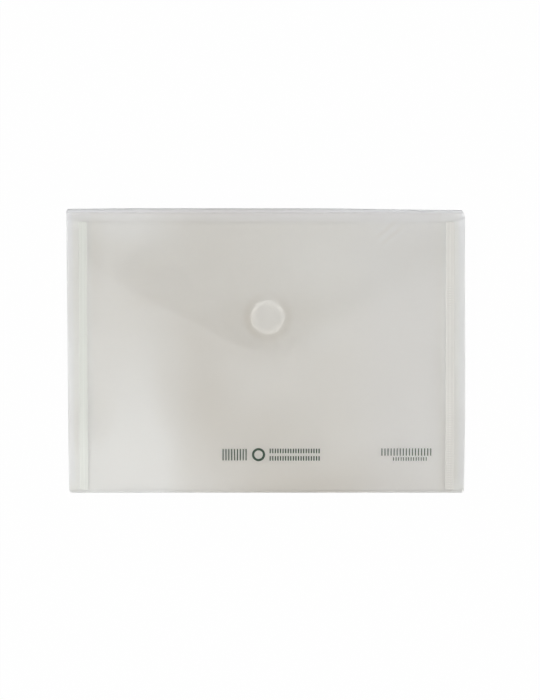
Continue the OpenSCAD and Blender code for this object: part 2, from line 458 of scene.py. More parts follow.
@dataclass(frozen=True)
class FilmFinish:
    """Frosted film: light goes through it blurred, dimmed by its tint, and passes as shade to what
    is under it. The haze attribute takes the tint from clear to dense. It holds the film's own
    haze, and on the front film and the flap also painted light and shade: a painted sheen, painted
    shadows and lighter and darker patches. The white attribute whitens it where the film is
    stressed or welded; along the front film's curled side rims it is a painted highlight. The cool
    attribute draws it to a cooler grey, a painted reflection, as of a fold that mirrors its
    surroundings. The crease attribute marks the folds, where less goes through, and on the front
    film it also holds painted gleams, made the same way."""

    name: str = "frosted_film"
    clear: Rgb = (0.975, 0.975, 0.965)
    dense: Rgb = (0.811, 0.785, 0.738)
    whitened: Rgb = (0.998, 1.0, 0.988)
    # The cooler grey of a painted reflection.
    cooled: Rgb = (0.945, 0.950, 0.985)
    roughness: Pair = (0.42, 0.50)
    through: float = 0.80
    creased_through: float = 0.60
    ior: float = 1.36
    streaks: Triple = (260.0, 9.0, 60.0)
    cloud_scale: float = 28.0
    cloud_share: float = 0.7
    drift: float = 0.035
    grain_scale: float = 1500.0
    grain: float = 0.10
    grain_depth: float = 0.05 * MM
    shaded: float = 0.20

    def tint(self, t: NodeTree, streak: Socket) -> Socket:
        """The film's colour: clear to dense with its haze, painted light and shade and a little
        drift, whitened and cooled, the cooling a painted reflection.

        Args:
            t: The material's nodes.
            streak: The streaks of the rolled film, from 0 to 1.

        Returns:
            The colour.
        """
        blend = t.weigh(t.noise(self.cloud_scale), streak, self.cloud_share)
        # The haze attribute also holds painted light and shade.
        density = t.math("ADD", t.attribute("haze"), t.spread(blend, -self.drift, self.drift))
        tint = t.mix(t.attribute("white"), t.mix(density, self.clear, self.dense), self.whitened)
        return t.mix(t.attribute("cool"), tint, self.cooled)

    def seated(self, t: NodeTree, tint: Socket) -> tuple[Socket, Socket]:
        """The film's colour as it is, and how much goes through it, less in its creases."""
        return tint, t.spread(t.attribute("crease"), self.through, self.creased_through)

    def build(self) -> Material:
        """Makes the material.

        Returns:
            A Principled film, replaced by a tinted Transparent shader for light's own rays.
        """
        t = NodeTree(bpy.data.materials.new(self.name))
        streak = t.noise(1.0, stretch=self.streaks)
        tint, through = self.seated(t, self.tint(t, streak))
        film = t.principled({
            "Base Color": tint,
            "Roughness": t.spread(streak, *self.roughness),
            "IOR": self.ior,
            "Transmission Weight": through,
            "Normal": t.bump(t.noise(self.grain_scale), self.grain, self.grain_depth),
        })
        return t.end_film(film, t.mix(self.shaded, tint, BLACK))


@dataclass(frozen=True)
class SeatedFilmFinish(FilmFinish):
    """Frosted film with a disc glued under it, which shows through it as a pale round with a
    brighter ring where its rim is pressed. The attribute "seat" marks the film that the disc is
    glued to."""

    name: str = "seated_film"
    centre: Pair = (0.0, 0.0)
    radius: float = 14.5 * MM
    rim_w: float = 3.4 * MM
    edge: float = 0.35 * MM
    rim_rise: Pair = (1.2 * MM, 0.8 * MM)
    disc_white: float = 0.40
    rim_white: float = 0.11
    disc_press: float = 0.7
    seated_through: float = 0.30

    def seated(self, t: NodeTree, tint: Socket) -> tuple[Socket, Socket]:
        """Whitens the film over the disc and its rim and lets less through: steps of the distance
        from the disc's centre, times the attribute that says which film it is.

        Args:
            t: The material's nodes.
            tint: The film's colour.

        Returns:
            The whitened colour, and how much goes through.
        """
        reach = t.distance(self.centre)
        inner = self.radius - self.rim_w
        inside = t.step(reach, self.radius + self.edge, self.radius - self.edge)
        disc = t.times(t.attribute("seat"), inside)
        rim = t.times(disc, t.step(reach, inner - self.rim_rise[0], inner + self.rim_rise[1]))
        for part, white in ((disc, self.disc_white), (rim, self.rim_white)):
            tint = t.mix(t.times(part, white), tint, self.whitened)
        pressed = t.weigh(disc, rim, self.disc_press)
        return tint, t.spread(pressed, self.through, self.seated_through)


@dataclass(frozen=True)
class WeldFinish:
    """Milky film that the knurl has pressed: whiter, duller and grainier than the film round
    it."""

    name: str
    valley: Rgb
    crest: Rgb
    roughness: Pair = (0.32, 0.44)
    valley_through: float = 0.55
    crest_through: float = 0.30
    ior: float = 1.4
    mottle_scale: float = 90.0
    mottle: float = 0.12
    grain_scale: float = 1900.0
    grain: float = 0.15
    grain_depth: float = 0.05 * MM

    def build(self) -> Material:
        """Makes the material, with its crests, which the attribute "crest" marks, paler.

        Returns:
            The material.
        """
        t = NodeTree(bpy.data.materials.new(self.name))
        grain = t.noise(self.grain_scale)
        crest = t.attribute("crest")
        mottle = t.spread(t.noise(self.mottle_scale, detail=3.0), 0.0, self.mottle)
        tint = t.mix(mottle, t.mix(crest, self.valley, self.crest), self.valley)
        weld = t.principled({
            "Base Color": tint,
            "Roughness": t.spread(grain, *self.roughness),
            "IOR": self.ior,
            "Transmission Weight": t.spread(crest, self.valley_through, self.crest_through),
            "Normal": t.bump(grain, self.grain, self.grain_depth),
        })
        return t.end_film(weld, tint)


@dataclass(frozen=True)
class DotFinish:
    """Moulded nylon of the closure's backings: pale, waxy, with a brighter pressed rim."""

    name: str
    centre: Pair
    rim_from: float
    rim_to: float
    middle: Rgb = (0.88, 0.87, 0.83)
    rim: Rgb = (0.98, 0.98, 0.95)
    roughness: Pair = (0.38, 0.55)
    through: float = 0.25
    ior: float = 1.45
    mottle: float = 0.14
    grain_scale: float = 700.0
    grain: float = 0.2
    grain_depth: float = 0.05 * MM

    def build(self) -> Material:
        """Makes the material, whose colour follows the distance from the dot's centre.

        Returns:
            The material.
        """
        t = NodeTree(bpy.data.materials.new(self.name))
        rise = t.step(t.distance(self.centre), self.rim_from, self.rim_to)
        grain = t.noise(self.grain_scale, detail=3.0)
        tint = t.mix(rise, self.middle, self.rim)
        tint = t.mix(t.spread(grain, 0.0, self.mottle), tint, self.middle)
        backing = t.principled({
            "Base Color": tint,
            "Roughness": t.spread(grain, *self.roughness),
            "IOR": self.ior,
            "Transmission Weight": self.through,
            "Normal": t.bump(grain, self.grain, self.grain_depth),
        })
        return t.end(backing)


@dataclass(frozen=True)
class NylonFinish:
    """Nylon fibre or moulded hooks: pale, softly shining, a little see-through."""

    name: str
    tint: Rgb
    shade: Rgb
    roughness: Pair
    fuzz: float
    glow: float = 0.15
    glow_reach: Triple = (1.0 * MM, 1.0 * MM, 1.0 * MM)
    clump_scale: float = 380.0
    tangle_scale: float = 2400.0
    grain: float = 0.5
    grain_depth: float = 0.15 * MM

    def build(self) -> Material:
        """Makes the material, mottled between its two tints, with a soft sheen.

        Returns:
            The material.
        """
        t = NodeTree(bpy.data.materials.new(self.name))
        tangle = t.noise(self.tangle_scale, detail=4.0)
        nylon = t.principled({
            "Base Color": t.mix(t.times(tangle, t.noise(self.clump_scale)), self.tint, self.shade),
            "Roughness": t.spread(tangle, *self.roughness),
            "Sheen Weight": self.fuzz,
            "Subsurface Weight": self.glow,
            "Subsurface Radius": self.glow_reach,
            "Normal": t.bump(tangle, self.grain, self.grain_depth),
        })
        return t.end(nylon)


@dataclass(frozen=True)
class InkFinish:
    """Screen-printed ink, thin and slightly uneven."""

    name: str = "printed_ink"
    deep: Rgb = (0.016, 0.045, 0.026)
    thin: Rgb = (0.06, 0.10, 0.07)
    thinned: float = 0.6
    roughness: Pair = (0.45, 0.60)
    speck_scale: float = 1300.0
    grain: float = 0.1
    grain_depth: float = 0.02 * MM

    def build(self) -> Material:
        """Makes the material, with its coverage varied by fine noise.

        Returns:
            The material.
        """
        t = NodeTree(bpy.data.materials.new(self.name))
        speck = t.noise(self.speck_scale, detail=4.0)
        ink = t.principled({
            "Base Color": t.mix(t.spread(speck, 0.0, self.thinned), self.deep, self.thin),
            "Roughness": t.spread(speck, *self.roughness),
            "Normal": t.bump(speck, self.grain, self.grain_depth),
        })
        return t.end(ink)


def dress(obj: Piece, material: Material) -> None:
    """Gives every slot of a piece or a CAD node one material.

    Args:
        obj: The piece or node.
        material: The material.
    """
    if not obj.data.materials:
        obj.data.materials.append(material)
    for i in range(len(obj.material_slots)):
        obj.material_slots[i].material = material


# ---- The envelope's layout, read from the frame ----


@dataclass
class Layout:
    """Levels and places that the pieces share. The ones with no value here come from the CAD
    nodes' boxes."""

    side_taper: float = 1.8 * MM
    corner_r: float = 3.0 * MM
    corner_cut: Pair = (2.7 * MM, 8.3 * MM)
    front_lift_len: float = 57.0 * MM
    back_lift_len: float = 45.0 * MM
    dot_margin: float = 9.0 * MM
    lean_w: Pair = (0.2 * MM, 1.3 * MM)
    lean_share: float = 0.75
    weld_x: float = 147.0 * MM
    sag_held: tuple[float, float, float, float] = (147.0 * MM, 50.0 * MM, 40.0 * MM, 60.0 * MM)
    sag_gap: float = 0.4 * MM
    sag_hills: tuple[Hill, Hill] = (
        Hill((0.0, 0.0), (0.075, 0.050), 0.55),
        Hill((-0.020, -0.050), (0.110, 0.060), 0.35),
    )
    wave_held: tuple[float, float, float, float] = (146.0 * MM, 30.0 * MM, 20.0 * MM, 20.0 * MM)
    front_waves: tuple[Wave, ...] = (
        Wave((0.145, 0.310), 0.6, 0.16 * MM),
        Wave((0.083, -0.120), 2.1, 0.07 * MM),
        Wave((0.400, 0.068), 4.0, 0.05 * MM),
    )
    scuff_at: Pair = (103.6 * MM, 98.9 * MM)
    scuff_angle: float = 40.0
    scuff_half: Pair = (14.0 * MM, 9.0 * MM)
    scuff_pitch: float = 7.2 * MM
    scuff_h: float = 0.10 * MM
    film_t: float = field(init=False)
    half_w: float = field(init=False)
    top_y: float = field(init=False)
    bottom_y: float = field(init=False)
    fold_y: float = field(init=False)
    foot_y: float = field(init=False)
    mouth_y: float = field(init=False)
    front_foot: float = field(init=False)
    front_level: float = field(init=False)
    back_level: float = field(init=False)
    dot: Pair = field(init=False)
    dot_r: float = field(init=False)
    tip_y: float = field(init=False)
    back_lift_y: float = field(init=False)
    tab_w: float = field(init=False)
    tab_top_y: float = field(init=False)
    seam_x: Pair = field(init=False)

    def __post_init__(self) -> None:
        """Reads the levels from the frame."""
        flap_low, flap_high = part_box("flap_panel")
        top_low, top_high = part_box("top_fold")
        foot_low, foot_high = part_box("bottom_fold")
        _, back_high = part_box("back_panel")
        disc_low, disc_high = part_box("loop_disc")
        tab_low, tab_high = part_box("right_weld_tab")
        seam_low, seam_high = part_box("right_weld_seam")
        self.film_t = flap_high.z - flap_low.z
        self.half_w = -top_low.x
        self.top_y = top_high.y
        self.bottom_y = foot_low.y
        self.fold_y = top_low.y
        self.foot_y = foot_high.y
        self.mouth_y = back_high.y
        self.front_foot = foot_high.z - self.film_t
        self.front_level = top_high.z - self.film_t
        self.back_level = back_high.z - self.film_t
        self.dot = ((disc_low.x + disc_high.x) / 2, (disc_low.y + disc_high.y) / 2)
        self.dot_r = (disc_high.x - disc_low.x) / 2
        self.tip_y = flap_low.y
        self.back_lift_y = self.dot[1] - self.dot_r - self.dot_margin - self.back_lift_len
        self.tab_w = float(self.side_x(np.array(self.foot_y))) - tab_low.x
        self.tab_top_y = tab_high.y
        self.seam_x = (seam_low.x, seam_high.x)

    def lean(self, x: Grid, y: Grid) -> Grid:
        """How far the skewed sheet leans to the right: an eased step, more at its right side."""
        most = lerp(*self.lean_w, ease(0.5 + x / (2.0 * self.half_w)))
        return most * ease((self.fold_y - y) / (self.lean_share * (self.fold_y - self.bottom_y)))

    def side_x(self, y: Grid) -> Grid:
        """Half the envelope's width: it draws in evenly towards the bottom, and the bottom corners
        are quarter circles.

        Args:
            y: Places along Y.

        Returns:
            The distance from the middle to the side.
        """
        up = np.clip(self.bottom_y + self.corner_r - y, 0.0, self.corner_r)
        round_in = self.corner_r - np.sqrt(self.corner_r**2 - up**2)
        taper = self.side_taper * (self.top_y - y) / (self.top_y - self.bottom_y)
        return self.half_w - taper - round_in

    def right_x(self, y: Grid) -> Grid:
        """The right side, whose top corner is cut by a straight line between the cut's ends.

        Args:
            y: Places along Y.

        Returns:
            The distance from the middle to the right side.
        """
        cut_w, cut_h = self.corner_cut
        line = self.half_w - cut_w * (1.0 - (self.top_y - y) / cut_h)
        return np.minimum(self.side_x(y), line)

    def front_base(self, y: Grid) -> Grid:
        """Underside of the flat front panel: an eased rise from the bottom fold."""
        rise = ease((y - self.foot_y) / self.front_lift_len)
        return self.front_foot + (self.front_level - self.front_foot) * rise

    def back_base(self, y: Grid) -> Grid:
        """Underside of the flat back panel: an eased rise over the closure dot."""
        return self.back_level * ease((y - self.back_lift_y) / self.back_lift_len)

    def free(self, x: Grid, y: Grid, held: tuple[float, float, float, float]) -> Grid:
        """How free the front film is to move, from 0 at the welds, the mouth and the bottom fold
        to 1: the product of three eased steps.

        Args:
            x: Places along X.
            y: Places along Y.
            held: How far from the middle the welds hold it, and how long the steps are from the
                welds, the mouth and the bottom fold.

        Returns:
            The share, from 0 to 1.
        """
        weld_x, side, top, foot = held
        share = ease((weld_x - np.abs(x)) / side) * ease((self.mouth_y - y) / top)
        return share * ease((y - self.foot_y) / foot)

    def sag(self, x: Grid, y: Grid) -> Grid:
        """How far the front film hangs below its flat level. It rests against the closure dot and
        hangs a little round it, by hills that are centred from the dot.

        Args:
            x: Places along X.
            y: Places along Y.

        Returns:
            The drop, in metres.
        """
        dx, dy = x - self.dot[0], y - self.dot[1]
        belly = np.clip(sum(hill.over(dx, dy) for hill in self.sag_hills), 0.0, 1.0)
        room = self.front_level - self.back_level - self.film_t - self.sag_gap
        return self.free(x, y, self.sag_held) * room * belly

    def waves(self, x: Grid, y: Grid) -> Grid:
        """Slow waves of the front film, crossing, that die out where it is held."""
        crossing = sum(wave.over(x, y) for wave in self.front_waves)
        return self.free(x, y, self.wave_held) * crossing

    def scuff(self, x: Grid, y: Grid) -> Grid:
        """A creased scuff near the top right: a ripple across a short diagonal, faded at its ends.

        Args:
            x: Places along X.
            y: Places along Y.

        Returns:
            The ripple's height from -1 to 1.
        """
        angle = math.radians(self.scuff_angle)
        dx, dy = x - self.scuff_at[0], y - self.scuff_at[1]
        along = dx * math.cos(angle) + dy * math.sin(angle)
        across = -dx * math.sin(angle) + dy * math.cos(angle)
        half_long, half_wide = self.scuff_half
        fade = ease((half_long - np.abs(along)) / (half_long / 2))
        fade = fade * ease((half_wide - np.abs(across)) / (half_wide / 2))
        return fade * np.cos(2 * math.pi * across / self.scuff_pitch)

    def front_mid(self, x: Grid, y: Grid) -> Grid:
        """Middle of the front film: its flat level less the sag, with the waves and the scuff."""
        flat = self.front_base(y) + self.film_t / 2
        return flat - self.sag(x, y) + self.waves(x, y) + self.scuff_h * self.scuff(x, y)

    def front_top(self, x: Grid, y: Grid) -> Grid:
        """Upper face of the front film."""
        return self.front_mid(x, y) + self.film_t / 2


# ---- Sub-assemblies ----


@dataclass(frozen=True)
class FrontTones:
    """How haze, whitening, coolness and creases vary over the front film, each from 0 to 1. Besides
    the film's own haze, whitening and creases, they hold painted light and shade: lighter and
    darker patches, a painted sheen, a painted shadow round the closure dot, painted shade on the
    scuff, a painted highlight along the curled rims, painted gleams and a painted cool reflection.
    Places are in metres. A ramp or swell that is named for an edge runs along the distance from
    the side."""

    even: float = 0.355
    # Painted light and shade: soft patches that darken the tint, and lighten it where their height
    # is below 0.
    hills: tuple[Hill, ...] = (
        Hill((-0.026, 0.029), (0.013, 0.016), 0.10),
        Hill((-0.004, 0.004), (0.036, 0.014), 0.13),
        Hill((0.030, 0.030), (0.016, 0.020), 0.11),
        Hill((-0.050, -0.036), (0.024, 0.038), 0.22),
        Hill((-0.086, -0.032), (0.010, 0.036), 0.13),
        Hill((-0.058, 0.007), (0.015, 0.013), 0.11),
        Hill((-0.138, -0.064), (0.012, 0.040), 0.19),
        Hill((-0.080, 0.024), (0.034, 0.012), 0.10),
        Hill((-0.070, -0.074), (0.014, 0.016), -0.07),
        Hill((-0.097, 0.041), (0.018, 0.007), 0.15),
        Hill((-0.108, 0.056), (0.020, 0.012), 0.04),
        Hill((-0.098, 0.068), (0.018, 0.016), 0.10),
        Hill((-0.002, -0.073), (0.048, 0.030), 0.24),
        Hill((-0.062, -0.110), (0.034, 0.012), -0.13),
        Hill((-0.116, -0.092), (0.030, 0.020), -0.18),
        Hill((0.035, -0.120), (0.074, 0.022), 0.38),
        Hill((0.082, -0.092), (0.020, 0.014), 0.07),
        Hill((0.138, -0.076), (0.045, 0.032), -0.07),
        Hill((0.160, 0.020), (0.075, 0.120), -0.17),
        Hill((0.120, 0.104), (0.030, 0.012), -0.12),
        Hill((-0.116, 0.106), (0.030, 0.016), -0.32),
        Hill((0.1475, -0.005), (0.005, 0.075), 0.20),
        Hill((-0.1435, 0.085), (0.006, 0.036), 0.12),
        Hill((0.020, 0.100), (0.100, 0.014), -0.04),
        Hill((0.056, 0.078), (0.052, 0.038), -0.19),
        Hill((0.046, 0.012), (0.026, 0.014), -0.10),
    )
    # Painted sheen: the tint made clearer towards the lower left, standing in for a soft lamp's
    # sheen, with less of it at the side.
    painted_sheen_x: Ramp = Ramp(-0.060, -0.038, 0.42)
    painted_sheen_y: Ramp = Ramp(0.050, -0.150, 0.75)
    painted_sheen_side: Ramp = Ramp(-0.153, -0.006, 0.8)
    # Painted shadow: a denser ring just outside the closure dot, strongest at its two sides and
    # below.
    painted_dot_shadow: Swell = Swell(1.19, 0.21, 0.46)
    painted_dot_shadow_turns: tuple[float, float, float, float] = (0.28, 0.42, -0.15, -0.14)
    bare: float = 0.13
    bare_swells: tuple[Swell, Swell] = (Swell(-0.115, 0.055, 0.11), Swell(0.020, 0.055, 0.13))
    mouth_line: Swell = Swell(0.0, 1.3 * MM, 0.16)
    mouth_from: Ramp = Ramp(-0.060, 0.040)
    # Painted shade and light along the scuff's ripples.
    scuff_shading: float = 0.24

    gusset_edge: Ramp = Ramp(0.022, -0.004, 0.80)
    left_dims: tuple[Ramp | Swell, ...] = (Swell(-0.068, 0.025, 0.65), Ramp(0.010, 0.020, 0.22))
    right_dim: Ramp = Ramp(-0.035, -0.032, 0.90)
    corner_y: Ramp = Ramp(-0.100, -0.012)
    corner_edge: Ramp = Ramp(0.011, -0.002)
    tab_edge: Ramp = Ramp(0.012, -0.001)
    tab_low: Ramp = Ramp(-0.075, -0.020, 0.4)
    tab_top: Ramp = Ramp(0.101, 0.004)
    tab_dims: Pair = (0.30, 0.40)
    # Painted highlight: whitening given back along the curled rim at each side.
    curl_edge: Ramp = Ramp(0.0045, -0.002)
    curl: float = 0.25
    left_curls: tuple[Ramp | Swell, ...] = (
        Ramp(0.078, 0.020, 0.90),
        Swell(-0.008, 0.018, 0.50),
        Swell(0.044, 0.022, -0.50),
    )
    right_curls: tuple[Ramp | Swell, ...] = (Ramp(-0.050, -0.015, 0.35), Ramp(0.050, 0.030, 0.40))

    # Painted reflection: a cooler grey at the sides, over the right part and above the mouth.
    cool_side: float = 0.34
    cool_side_high: Ramp = Ramp(0.065, 0.020, 0.12)
    cool_side_edge: Ramp = Ramp(0.0065, -0.003)
    cool_side_foot: Ramp = Ramp(-0.117, 0.012)
    cool_bare: float = 0.20
    cool_bare_middle: Swell = Swell(0.020, 0.060, 0.18)
    cool_right: Ramp = Ramp(0.055, 0.050, 0.14)
    cool_right_edge: Ramp = Ramp(0.020, 0.002)

    side_crease_edge: Ramp = Ramp(1.6 * MM, -MM)
    side_creases: Pair = (0.30, 0.40)
    gleams: tuple[Ramp, Ramp] = (Ramp(-0.030, 0.100, 0.15), Ramp(0.080, 0.020, 0.15))
    gleam_edge: Ramp = Ramp(0.010, -0.001)
    tab_gleam: Swell = Swell(MM, 1.5 * MM, 0.10)
    foot_crease: Ramp = Ramp(MM, -1.5 * MM, 0.12)
    fold_creases: tuple[Ramp, Ramp] = (Ramp(-1.6 * MM, MM, 0.5), Ramp(-0.6 * MM, 0.6 * MM, 0.5))

    def haze(self, lay: Layout, x: Grid, y: Grid) -> Grid:
        """How dense the film's tint is: an even value with soft hills of painted light and shade,
        less a painted sheen, which is a clearer corner at the lower left whose sides are eased
        steps. A painted shadow is added, a ring just outside the closure dot that is strongest at
        its two sides and below. The film is denser above the mouth and clearer along its line, and
        the scuff ripples it with painted shade and light.

        Args:
            lay: The envelope's layout.
            x: Places along X.
            y: Places along Y.

        Returns:
            The density.
        """
        value = self.even + sum(hill.over(x, y) for hill in self.hills)
        level = 1.0 - self.painted_sheen_y.height + self.painted_sheen_y.over(y)
        value = value - self.painted_sheen_x.over(x) * level * (1.0 - self.painted_sheen_side.over(x))
        dx, dy = x - lay.dot[0], y - lay.dot[1]
        away = np.hypot(dx, dy)
        base, sides, right, up = self.painted_dot_shadow_turns
        turned = base + (sides * np.abs(dx) + right * dx + up * dy) / np.maximum(away, MM)
        value = value + self.painted_dot_shadow.over(away / lay.dot_r) * turned
        above = y - lay.mouth_y
        value = value + (self.bare + total(self.bare_swells, x)) * ease(above / MM + 0.5)
        value = value - self.mouth_line.over(above) * self.mouth_from.over(x)
        return value - self.scuff_shading * lay.scuff(x, y)

    def whitening_and_highlight(self, x: Grid, y: Grid, edge: Grid) -> Grid:
        """How whitened the film is over the gussets: an eased step of the distance from the side,
        dimmed along parts of each side, less what the tab under it takes, and plus a painted
        highlight along its curled rim.

        Args:
            x: Places along X.
            y: Places along Y.
            edge: Distance from the side.

        Returns:
            The whitening, with the painted highlight.
        """
        corner = self.corner_y.over(y) * self.corner_edge.over(edge)
        right_dim = self.right_dim.over(y) * (1.0 - corner)
        dim = by_side(x, total(self.left_dims, y), right_dim)
        tab = self.tab_edge.over(edge) * (1.0 - self.tab_low.over(y)) * (1.0 - self.tab_top.over(y))
        # The curled rim's painted highlight, which gives back whitening near the side.
        curl = self.curl + by_side(x, total(self.left_curls, y), total(self.right_curls, y))
        tab = tab - curl * self.curl_edge.over(edge)
        return self.gusset_edge.over(edge) * (1.0 - dim) - by_side(x, *self.tab_dims) * tab

    def coolness(self, lay: Layout, x: Grid, y: Grid, edge: Grid) -> Grid:
        """How cool the film's grey is, a painted reflection: eased steps at the sides, over the
        right part, and above the mouth, where it is strongest in the middle.

        Args:
            lay: The envelope's layout.
            x: Places along X.
            y: Places along Y.
            edge: Distance from the side.

        Returns:
            The coolness.
        """
        sides = (self.cool_side + self.cool_side_high.over(y)) * self.cool_side_edge.over(edge)
        bare = (self.cool_bare + self.cool_bare_middle.over(x)) * ease((y - lay.mouth_y) / MM)
        right = self.cool_right.over(x) * self.cool_right_edge.over(edge)
        return np.maximum(sides * self.cool_side_foot.over(y), bare) + right

    def creases_and_gleams(self, lay: Layout, x: Grid, y: Grid, edge: Grid) -> Grid:
        """How strongly the film is creased: eased steps at both sides and at the bottom and top
        folds, with a soft painted gleam high on the right strip and a painted gleam in a line by
        the left tab's inner edge.

        Args:
            lay: The envelope's layout.
            x: Places along X.
            y: Places along Y.
            edge: Distance from the side.

        Returns:
            The creases and painted gleams.
        """
        sides = self.side_crease_edge.over(edge) * by_side(x, *self.side_creases)
        gleam = total(self.gleams, y) * self.gleam_edge.over(edge)
        soft = by_side(x, self.tab_gleam.over(edge - lay.tab_w), gleam)
        ends = self.foot_crease.over(y - lay.foot_y) + total(self.fold_creases, y - lay.fold_y)
        return np.maximum(np.maximum(sides, soft), ends)


@dataclass
class FrontFilm:
    """The front panel with the bottom fold, one sheet, which rides on the front body."""

    lay: Layout
    tones: FrontTones = FrontTones()
    side_cols: int = 40
    side_share: float = 0.13
    cols: int = 190
    rows: int = 160
    fold_rows: int = 9

    def surface(self) -> tuple[Grid, dict[str, Grid]]:
        """The middle surface: rows from the back panel's edge round the bottom fold's half circle
        and up the front, columns from side to side, closer together by the sides.

        Returns:
            The surface as rows by columns by 3, and the haze, whitening, coolness and crease there,
            which also hold painted light, shade and reflection.
        """
        lay, tones = self.lay, self.tones
        radius = lay.front_foot / 2
        centre = (lay.foot_y, radius + lay.film_t / 2)
        bend = arc(centre, radius, -90.0, -270.0, self.fold_rows)[:-1]
        y_flat = np.linspace(lay.foot_y, lay.fold_y, self.rows)
        y = np.concatenate([bend[:, 0], y_flat])[:, None]
        turn = 1.0 - self.side_share
        right_u = np.linspace(turn, 1.0, self.side_cols)
        middle_u = np.linspace(-turn, turn, self.cols)[1:-1]
        u = np.concatenate([-right_u[::-1], middle_u, right_u])[None, :]
        straight = by_side(u, u * lay.side_x(y), u * lay.right_x(y))
        edge = lay.side_x(y) - np.abs(straight)
        x, y = np.broadcast_arrays(straight + lay.lean(straight, y), y)
        z = lay.front_mid(x, y)
        z[: len(bend)] = bend[:, 1:2]
        marks = {
            "haze": tones.haze(lay, x, y),
            "white": tones.whitening_and_highlight(x, y, edge),
            "cool": tones.coolness(lay, x, y, edge),
            "crease": tones.creases_and_gleams(lay, x, y, edge),
        }
        return np.stack([x, y, z], axis=-1), marks

    def build(self, film: Material) -> Piece:
        """Makes the piece and dresses it.

        Args:
            film: The film's material.

        Returns:
            The piece.
        """
        mid, marks = self.surface()
        obj = shell("front_film", mid, self.lay.film_t, marks)
        dress(obj, film)
        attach(obj, Body.FRONT.value)
        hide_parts("front_panel", "bottom_fold")
        return obj


